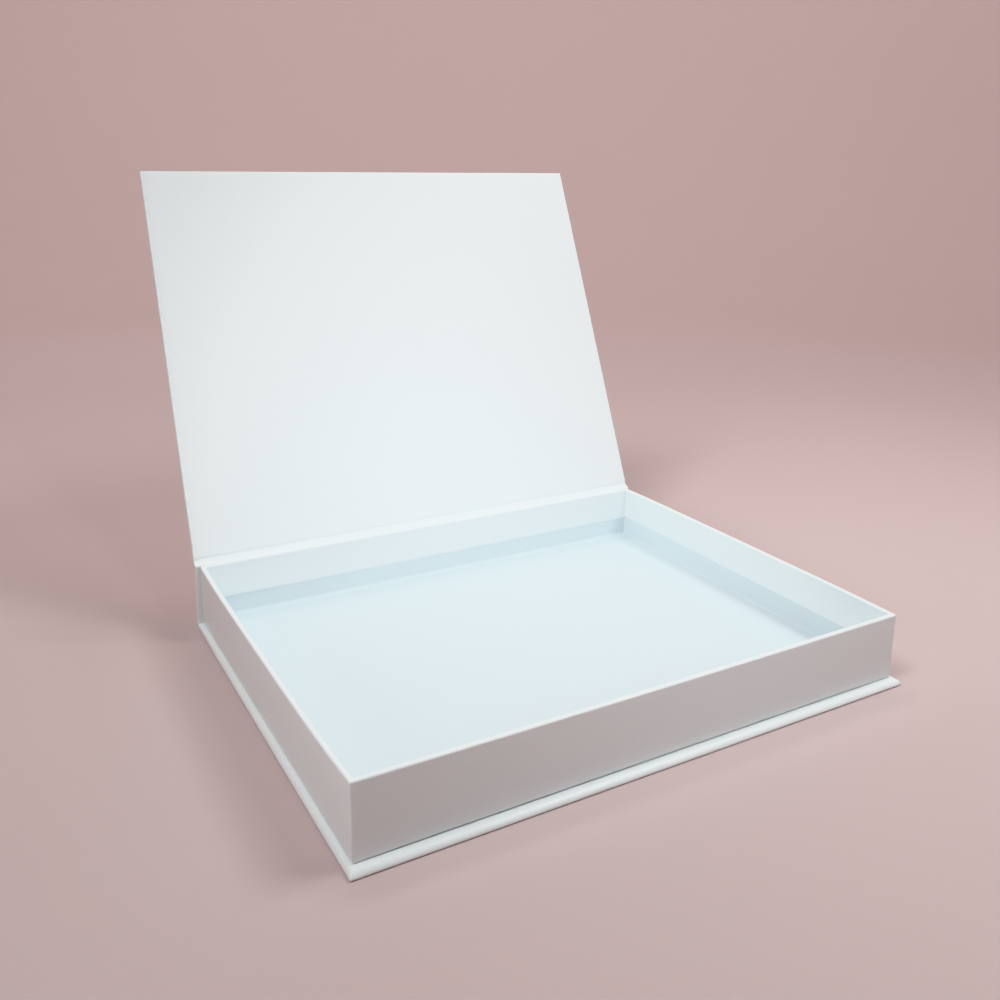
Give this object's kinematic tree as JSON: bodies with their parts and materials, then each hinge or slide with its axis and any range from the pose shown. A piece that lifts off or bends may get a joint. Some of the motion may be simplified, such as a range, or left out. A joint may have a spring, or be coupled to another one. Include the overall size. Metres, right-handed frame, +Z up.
{
  "type": "clamshell book box",
  "caption": "Shallow paper-wrapped tray in a hinged book-style case, standing open with its lid leaning back.",
  "frame": {"origin": "middle of the tray's plan, at the underside of the base", "axes": "+X along the hinge, -Y towards the open front, +Y towards the spine, +Z up"},
  "size_m": [0.3148, 0.3442, 0.2641],
  "materials": {
    "greyboard": "matte",
    "cover_paper": "satin",
    "liner_paper": "satin",
    "lining_paper": "matte",
    "gummed_tape": "matte"
  },
  "bodies": {
    "tray_and_base": {"base_board": "greyboard", "spine_board": "greyboard", "base_cover_paper": "cover_paper", "spine_cover_paper": "cover_paper", "hinge_cover_paper": "cover_paper", "hinge_liner_paper": "liner_paper", "back_wall_liner_paper": "liner_paper", "tray_floor_board": "greyboard", "tray_front_board": "greyboard", "tray_back_board": "greyboard", "tray_left_board": "greyboard", "tray_right_board": "greyboard", "tray_wrap_paper": "cover_paper", "tray_lining_paper": "lining_paper", "corner_tape_front_left": "gummed_tape", "corner_tape_front_right": "gummed_tape", "corner_tape_back_left": "gummed_tape", "corner_tape_back_right": "gummed_tape"},
    "lid": {"lid_board": "greyboard", "lid_cover_paper": "cover_paper", "lid_liner_paper": "liner_paper"}
  },
  "joints": [
    {"name": "lid_hinge", "type": "hinge", "parent": "tray_and_base", "child": "lid", "pos_m": [0, 0.1218, 0.0404], "axis": [-1, 0, 0], "range_deg": [-113.8, 75.2], "deforming": ["hinge_cover_paper", "hinge_liner_paper"]}
  ]
}
